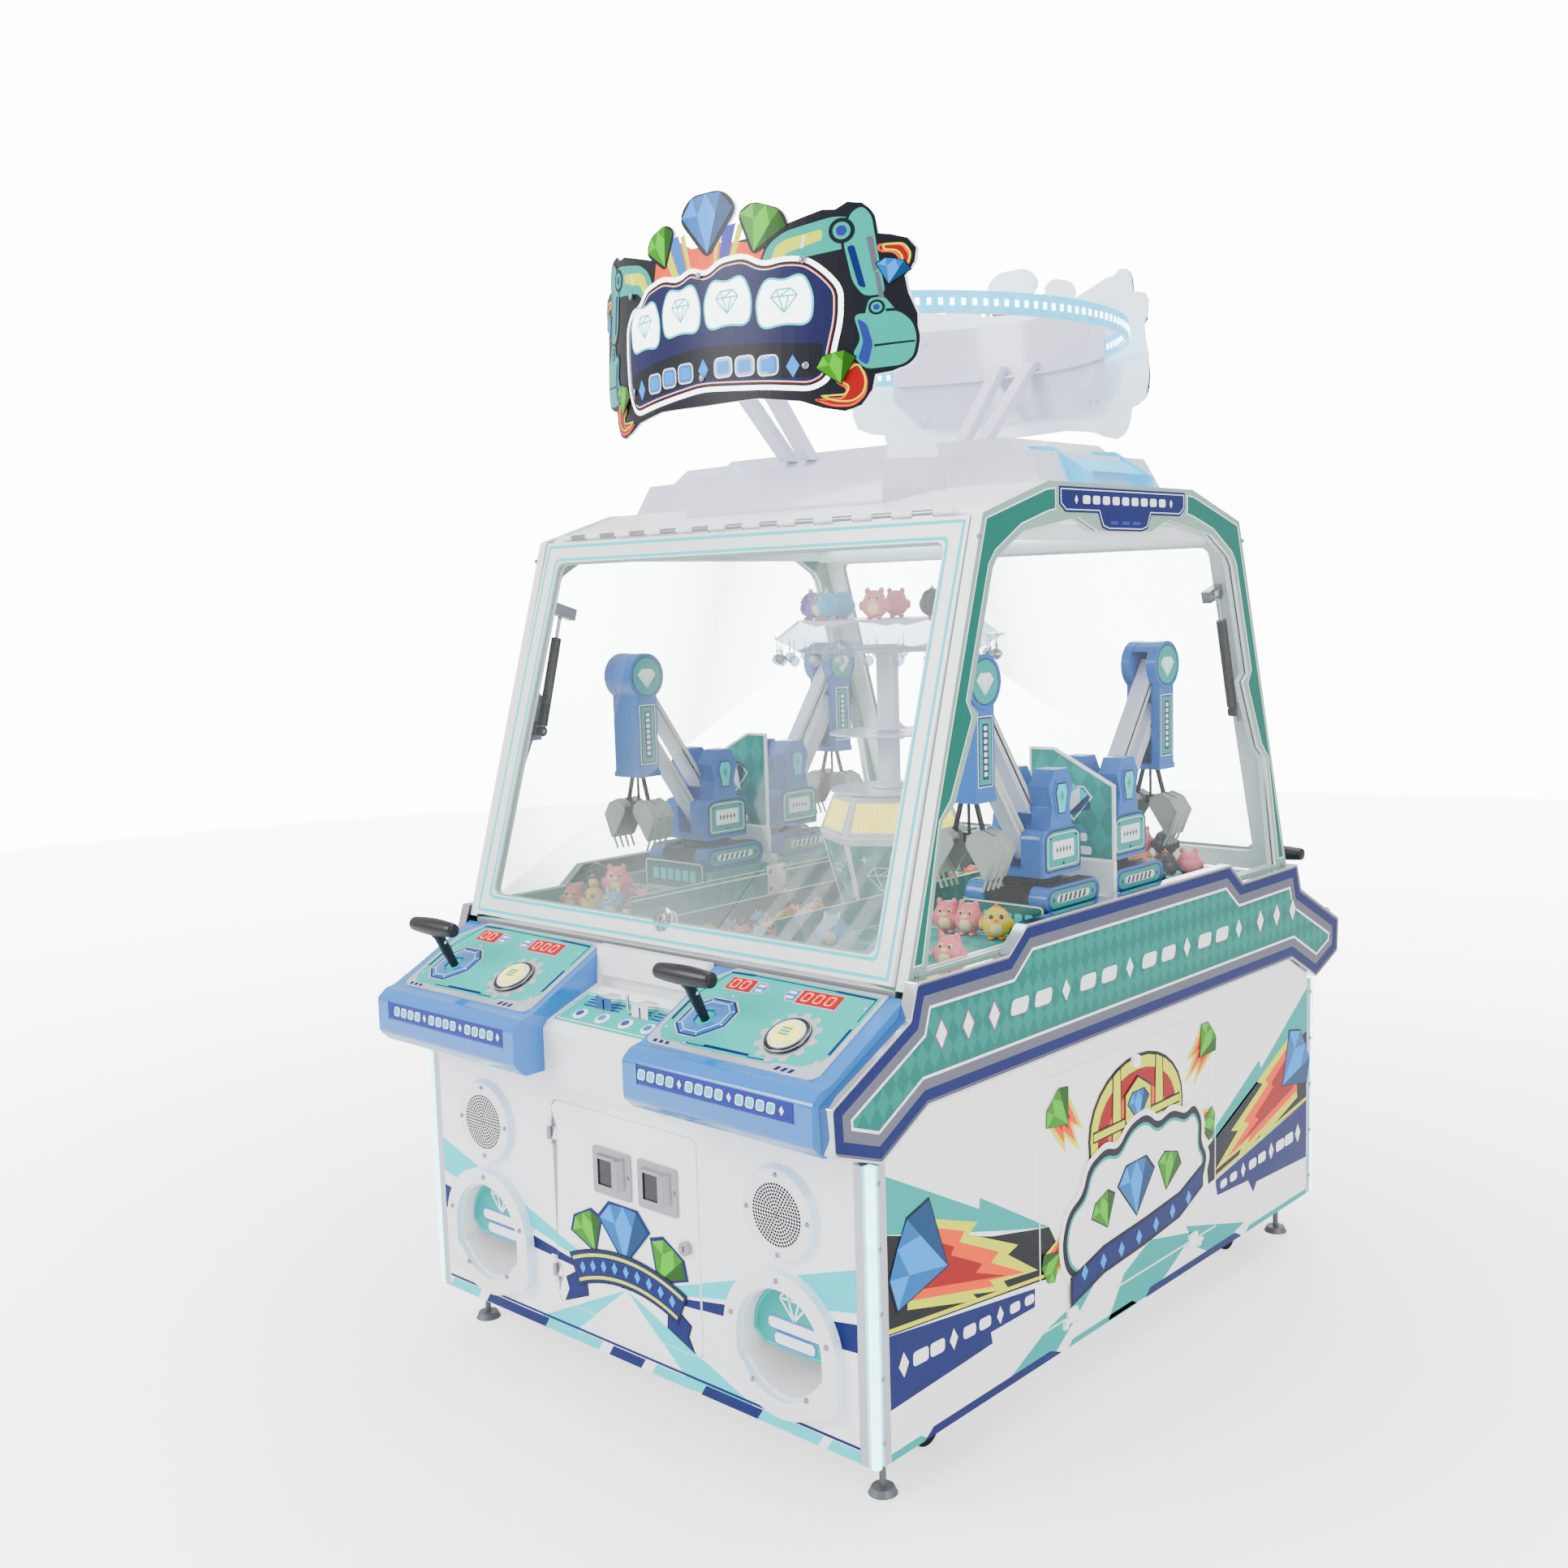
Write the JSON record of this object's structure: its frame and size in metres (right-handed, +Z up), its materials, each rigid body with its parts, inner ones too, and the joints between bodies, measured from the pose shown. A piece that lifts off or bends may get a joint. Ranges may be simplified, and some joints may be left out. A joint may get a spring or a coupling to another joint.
{
  "type": "four-player miniature excavator prize machine",
  "caption": "Free-standing four-player prize machine: glazed play field with a miniature slewing excavator and grab per player, joystick consoles, coin doors and a hoop topper.",
  "frame": {"origin": "on the floor, under the middle of the cabinet", "axes": "+Z up; -Y towards the front pair of players; +X to the right of a player standing at the front"},
  "size_m": [1.224, 1.852, 2.265],
  "materials": {
    "frame_steel": "powder coated steel tube, aluminium posts, rubber feet",
    "cabinet_white": "white gloss laminate with printed colour areas",
    "box_grey": "satin grey",
    "banner_teal": "printed, chrome edge trim",
    "console_blue": "moulded, gloss",
    "plate_teal": "printed metal plate",
    "bezel_blue": "moulded, gloss",
    "side_frame_green": "satin",
    "side_glass": "clear",
    "roof_white": "satin",
    "roof_cover_white": "moulded, gloss, edge-lit fins",
    "topper_silver": "satin",
    "sign_colour": "printed and backlit",
    "deck_teal": "satin",
    "track_blue": "moulded, printed",
    "tower_teal": "moulded, lit windows",
    "door_glass": "clear pane in a slim satin metal frame",
    "strut_black": "black",
    "strut_steel": "ground",
    "coin_door_print": "printed",
    "wheel_rubber": "matt",
    "hatch_white": "gloss",
    "handle_black": "satin",
    "button_yellow": "translucent, lit",
    "digger_blue": "moulded, gloss",
    "boom_white": "gloss",
    "stick_blue": "moulded, steel rods",
    "jaw_grey": "satin"
  },
  "bodies": {
    "machine_frame": {"base_frame": "frame_steel", "cabinet_panels": "cabinet_white", "control_unit": "box_grey", "side_banners": "banner_teal", "console_shells": "console_blue", "console_plates": "plate_teal", "panel_fittings": "bezel_blue", "side_frames": "side_frame_green", "side_windows": "side_glass", "roof_panel": "roof_white", "roof_cover": "roof_cover_white", "topper_frame": "topper_silver", "sign_panels": "sign_colour", "playfield_deck": "deck_teal", "track_bases": "track_blue", "prize_tower": "tower_teal"},
    "front_glass_door": {"front_glass_door": "door_glass"},
    "front_strut_cylinders": {"front_strut_cylinders": "strut_black"},
    "front_strut_rods": {"front_strut_rods": "strut_steel"},
    "front_coin_door": {"front_coin_door": "coin_door_print"},
    "front_caster_wheels": {"front_caster_wheels": "wheel_rubber"},
    "rear_glass_door": {"rear_glass_door": "door_glass"},
    "rear_strut_cylinders": {"rear_strut_cylinders": "strut_black"},
    "rear_strut_rods": {"rear_strut_rods": "strut_steel"},
    "rear_coin_door": {"rear_coin_door": "coin_door_print"},
    "rear_caster_wheels": {"rear_caster_wheels": "wheel_rubber"},
    "right_side_hatch": {"right_side_hatch": "hatch_white"},
    "left_side_hatch": {"left_side_hatch": "hatch_white"},
    "front_right_joystick": {"front_right_joystick": "handle_black"},
    "front_right_push_button": {"front_right_push_button": "button_yellow"},
    "front_right_upper_body": {"front_right_upper_body": "digger_blue"},
    "front_right_boom": {"front_right_boom": "boom_white"},
    "front_right_link_bar": {"front_right_link_bar": "boom_white"},
    "front_right_stick": {"front_right_stick": "stick_blue"},
    "front_right_jaw_a": {"front_right_jaw_a": "jaw_grey"},
    "front_right_jaw_b": {"front_right_jaw_b": "jaw_grey"},
    "front_left_joystick": {"front_left_joystick": "handle_black"},
    "front_left_push_button": {"front_left_push_button": "button_yellow"},
    "front_left_upper_body": {"front_left_upper_body": "digger_blue"},
    "front_left_boom": {"front_left_boom": "boom_white"},
    "front_left_link_bar": {"front_left_link_bar": "boom_white"},
    "front_left_stick": {"front_left_stick": "stick_blue"},
    "front_left_jaw_a": {"front_left_jaw_a": "jaw_grey"},
    "front_left_jaw_b": {"front_left_jaw_b": "jaw_grey"},
    "rear_left_joystick": {"rear_left_joystick": "handle_black"},
    "rear_left_push_button": {"rear_left_push_button": "button_yellow"},
    "rear_left_upper_body": {"rear_left_upper_body": "digger_blue"},
    "rear_left_boom": {"rear_left_boom": "boom_white"},
    "rear_left_link_bar": {"rear_left_link_bar": "boom_white"},
    "rear_left_stick": {"rear_left_stick": "stick_blue"},
    "rear_left_jaw_a": {"rear_left_jaw_a": "jaw_grey"},
    "rear_left_jaw_b": {"rear_left_jaw_b": "jaw_grey"},
    "rear_right_joystick": {"rear_right_joystick": "handle_black"},
    "rear_right_push_button": {"rear_right_push_button": "button_yellow"},
    "rear_right_upper_body": {"rear_right_upper_body": "digger_blue"},
    "rear_right_boom": {"rear_right_boom": "boom_white"},
    "rear_right_link_bar": {"rear_right_link_bar": "boom_white"},
    "rear_right_stick": {"rear_right_stick": "stick_blue"},
    "rear_right_jaw_a": {"rear_right_jaw_a": "jaw_grey"},
    "rear_right_jaw_b": {"rear_right_jaw_b": "jaw_grey"}
  },
  "joints": [
    {"name": "front_glass_door_hinge", "type": "hinge", "parent": "machine_frame", "child": "front_glass_door", "pos_m": [0, -0.45464, 1.64813], "axis": [-1, 0, 0], "range_deg": [0, 75]},
    {"name": "front_strut_cylinders_pivot", "type": "hinge", "parent": "machine_frame", "child": "front_strut_cylinders", "pos_m": [0, -0.512, 1.238], "axis": [-1, 0, 0], "range_deg": [0, 29.9]},
    {"name": "front_strut_rods_slide", "type": "slide", "parent": "front_strut_cylinders", "child": "front_strut_rods", "axis": [0, 0.2569, 0.9664], "range_m": [0, 0.1119]},
    {"name": "front_coin_door_hinge", "type": "hinge", "parent": "machine_frame", "child": "front_coin_door", "pos_m": [-0.203, -0.811, 0.362], "axis": [0, 0, -1], "range_deg": [0, 110]},
    {"name": "front_caster_wheels_spin", "type": "hinge", "parent": "machine_frame", "child": "front_caster_wheels", "pos_m": [0, -0.56, 0.035], "axis": [1, 0, 0], "continuous": true},
    {"name": "rear_glass_door_hinge", "type": "hinge", "parent": "machine_frame", "child": "rear_glass_door", "pos_m": [0, 0.45464, 1.64813], "axis": [1, 0, 0], "range_deg": [0, 75]},
    {"name": "rear_strut_cylinders_pivot", "type": "hinge", "parent": "machine_frame", "child": "rear_strut_cylinders", "pos_m": [0, 0.512, 1.238], "axis": [1, 0, 0], "range_deg": [0, 29.9]},
    {"name": "rear_strut_rods_slide", "type": "slide", "parent": "rear_strut_cylinders", "child": "rear_strut_rods", "axis": [0, -0.2569, 0.9664], "range_m": [0, 0.1119]},
    {"name": "rear_coin_door_hinge", "type": "hinge", "parent": "machine_frame", "child": "rear_coin_door", "pos_m": [0.203, 0.811, 0.362], "axis": [0, 0, -1], "range_deg": [0, 110]},
    {"name": "rear_caster_wheels_spin", "type": "hinge", "parent": "machine_frame", "child": "rear_caster_wheels", "pos_m": [0, 0.56, 0.035], "axis": [1, 0, 0], "continuous": true},
    {"name": "right_side_hatch_hinge", "type": "hinge", "parent": "machine_frame", "child": "right_side_hatch", "pos_m": [0.606, 0, 0.146], "axis": [0, 1, 0], "range_deg": [0, 90]},
    {"name": "left_side_hatch_hinge", "type": "hinge", "parent": "machine_frame", "child": "left_side_hatch", "pos_m": [-0.606, 0, 0.146], "axis": [0, -1, 0], "range_deg": [0, 90]},
    {"name": "front_right_joystick_tilt", "type": "hinge", "parent": "machine_frame", "child": "front_right_joystick", "pos_m": [0.243, -0.79801, 0.76184], "axis": [1, 0, 0], "range_deg": [-15, 15], "stiffness_Nm_per_rad": 1.5},
    {"name": "front_right_push_button_press", "type": "slide", "parent": "machine_frame", "child": "front_right_push_button", "axis": [0, 0.4664, -0.8846], "range_m": [0, 0.004], "stiffness_N_per_m": 250},
    {"name": "front_right_swing", "type": "hinge", "parent": "machine_frame", "child": "front_right_upper_body", "pos_m": [0.451, -0.122, 0.97], "axis": [0, 0, -1], "range_deg": [-4, 70]},
    {"name": "front_right_boom_lift", "type": "hinge", "parent": "front_right_upper_body", "child": "front_right_boom", "pos_m": [0.451, -0.147, 1.098], "axis": [-1, 0, 0], "range_deg": [-22, 12]},
    {"name": "front_right_link_pivot", "type": "hinge", "parent": "front_right_upper_body", "child": "front_right_link_bar", "pos_m": [0.451, -0.147, 1.006], "axis": [-1, 0, 0], "range_deg": [-22, 12]},
    {"name": "front_right_stick_pivot", "type": "hinge", "parent": "front_right_boom", "child": "front_right_stick", "pos_m": [0.451, -0.325, 1.348], "axis": [-1, 0, 0], "range_deg": [-12, 22]},
    {"name": "front_right_jaw_a_close", "type": "hinge", "parent": "front_right_stick", "child": "front_right_jaw_a", "pos_m": [0.485, -0.325, 1.064], "axis": [0, 1, 0], "range_deg": [0, 37]},
    {"name": "front_right_jaw_b_close", "type": "hinge", "parent": "front_right_stick", "child": "front_right_jaw_b", "pos_m": [0.417, -0.325, 1.064], "axis": [0, -1, 0], "range_deg": [0, 37]},
    {"name": "front_left_joystick_tilt", "type": "hinge", "parent": "machine_frame", "child": "front_left_joystick", "pos_m": [-0.478, -0.79801, 0.76184], "axis": [1, 0, 0], "range_deg": [-15, 15], "stiffness_Nm_per_rad": 1.5},
    {"name": "front_left_push_button_press", "type": "slide", "parent": "machine_frame", "child": "front_left_push_button", "axis": [0, 0.4664, -0.8846], "range_m": [0, 0.004], "stiffness_N_per_m": 250},
    {"name": "front_left_swing", "type": "hinge", "parent": "machine_frame", "child": "front_left_upper_body", "pos_m": [-0.451, -0.122, 0.97], "axis": [0, 0, 1], "range_deg": [-4, 70]},
    {"name": "front_left_boom_lift", "type": "hinge", "parent": "front_left_upper_body", "child": "front_left_boom", "pos_m": [-0.451, -0.147, 1.098], "axis": [-1, 0, 0], "range_deg": [-22, 12]},
    {"name": "front_left_link_pivot", "type": "hinge", "parent": "front_left_upper_body", "child": "front_left_link_bar", "pos_m": [-0.451, -0.147, 1.006], "axis": [-1, 0, 0], "range_deg": [-22, 12]},
    {"name": "front_left_stick_pivot", "type": "hinge", "parent": "front_left_boom", "child": "front_left_stick", "pos_m": [-0.451, -0.325, 1.348], "axis": [-1, 0, 0], "range_deg": [-12, 22]},
    {"name": "front_left_jaw_a_close", "type": "hinge", "parent": "front_left_stick", "child": "front_left_jaw_a", "pos_m": [-0.417, -0.325, 1.064], "axis": [0, 1, 0], "range_deg": [0, 37]},
    {"name": "front_left_jaw_b_close", "type": "hinge", "parent": "front_left_stick", "child": "front_left_jaw_b", "pos_m": [-0.485, -0.325, 1.064], "axis": [0, -1, 0], "range_deg": [0, 37]},
    {"name": "rear_left_joystick_tilt", "type": "hinge", "parent": "machine_frame", "child": "rear_left_joystick", "pos_m": [-0.243, 0.79801, 0.76184], "axis": [1, 0, 0], "range_deg": [-15, 15], "stiffness_Nm_per_rad": 1.5},
    {"name": "rear_left_push_button_press", "type": "slide", "parent": "machine_frame", "child": "rear_left_push_button", "axis": [0, -0.4664, -0.8846], "range_m": [0, 0.004], "stiffness_N_per_m": 250},
    {"name": "rear_left_swing", "type": "hinge", "parent": "machine_frame", "child": "rear_left_upper_body", "pos_m": [-0.451, 0.122, 0.97], "axis": [0, 0, -1], "range_deg": [-4, 70]},
    {"name": "rear_left_boom_lift", "type": "hinge", "parent": "rear_left_upper_body", "child": "rear_left_boom", "pos_m": [-0.451, 0.147, 1.098], "axis": [1, 0, 0], "range_deg": [-22, 12]},
    {"name": "rear_left_link_pivot", "type": "hinge", "parent": "rear_left_upper_body", "child": "rear_left_link_bar", "pos_m": [-0.451, 0.147, 1.006], "axis": [1, 0, 0], "range_deg": [-22, 12]},
    {"name": "rear_left_stick_pivot", "type": "hinge", "parent": "rear_left_boom", "child": "rear_left_stick", "pos_m": [-0.451, 0.325, 1.348], "axis": [1, 0, 0], "range_deg": [-12, 22]},
    {"name": "rear_left_jaw_a_close", "type": "hinge", "parent": "rear_left_stick", "child": "rear_left_jaw_a", "pos_m": [-0.485, 0.325, 1.064], "axis": [0, -1, 0], "range_deg": [0, 37]},
    {"name": "rear_left_jaw_b_close", "type": "hinge", "parent": "rear_left_stick", "child": "rear_left_jaw_b", "pos_m": [-0.417, 0.325, 1.064], "axis": [0, 1, 0], "range_deg": [0, 37]},
    {"name": "rear_right_joystick_tilt", "type": "hinge", "parent": "machine_frame", "child": "rear_right_joystick", "pos_m": [0.478, 0.79801, 0.76184], "axis": [1, 0, 0], "range_deg": [-15, 15], "stiffness_Nm_per_rad": 1.5},
    {"name": "rear_right_push_button_press", "type": "slide", "parent": "machine_frame", "child": "rear_right_push_button", "axis": [0, -0.4664, -0.8846], "range_m": [0, 0.004], "stiffness_N_per_m": 250},
    {"name": "rear_right_swing", "type": "hinge", "parent": "machine_frame", "child": "rear_right_upper_body", "pos_m": [0.451, 0.122, 0.97], "axis": [0, 0, 1], "range_deg": [-4, 70]},
    {"name": "rear_right_boom_lift", "type": "hinge", "parent": "rear_right_upper_body", "child": "rear_right_boom", "pos_m": [0.451, 0.147, 1.098], "axis": [1, 0, 0], "range_deg": [-22, 12]},
    {"name": "rear_right_link_pivot", "type": "hinge", "parent": "rear_right_upper_body", "child": "rear_right_link_bar", "pos_m": [0.451, 0.147, 1.006], "axis": [1, 0, 0], "range_deg": [-22, 12]},
    {"name": "rear_right_stick_pivot", "type": "hinge", "parent": "rear_right_boom", "child": "rear_right_stick", "pos_m": [0.451, 0.325, 1.348], "axis": [1, 0, 0], "range_deg": [-12, 22]},
    {"name": "rear_right_jaw_a_close", "type": "hinge", "parent": "rear_right_stick", "child": "rear_right_jaw_a", "pos_m": [0.417, 0.325, 1.064], "axis": [0, -1, 0], "range_deg": [0, 37]},
    {"name": "rear_right_jaw_b_close", "type": "hinge", "parent": "rear_right_stick", "child": "rear_right_jaw_b", "pos_m": [0.485, 0.325, 1.064], "axis": [0, 1, 0], "range_deg": [0, 37]}
  ],
  "couplings": [
    {"joint": "front_strut_cylinders_pivot", "follows": "front_glass_door_hinge", "ratio": 0.39148},
    {"joint": "front_strut_rods_slide", "follows": "front_glass_door_hinge", "m_per_rad": 0.084745},
    {"joint": "rear_strut_cylinders_pivot", "follows": "rear_glass_door_hinge", "ratio": 0.39148},
    {"joint": "rear_strut_rods_slide", "follows": "rear_glass_door_hinge", "m_per_rad": 0.084745},
    {"joint": "front_right_link_pivot", "follows": "front_right_boom_lift", "ratio": 1},
    {"joint": "front_right_stick_pivot", "follows": "front_right_boom_lift", "ratio": -1},
    {"joint": "front_right_jaw_b_close", "follows": "front_right_jaw_a_close", "ratio": 1},
    {"joint": "front_left_link_pivot", "follows": "front_left_boom_lift", "ratio": 1},
    {"joint": "front_left_stick_pivot", "follows": "front_left_boom_lift", "ratio": -1},
    {"joint": "front_left_jaw_b_close", "follows": "front_left_jaw_a_close", "ratio": 1},
    {"joint": "rear_left_link_pivot", "follows": "rear_left_boom_lift", "ratio": 1},
    {"joint": "rear_left_stick_pivot", "follows": "rear_left_boom_lift", "ratio": -1},
    {"joint": "rear_left_jaw_b_close", "follows": "rear_left_jaw_a_close", "ratio": 1},
    {"joint": "rear_right_link_pivot", "follows": "rear_right_boom_lift", "ratio": 1},
    {"joint": "rear_right_stick_pivot", "follows": "rear_right_boom_lift", "ratio": -1},
    {"joint": "rear_right_jaw_b_close", "follows": "rear_right_jaw_a_close", "ratio": 1}
  ]
}
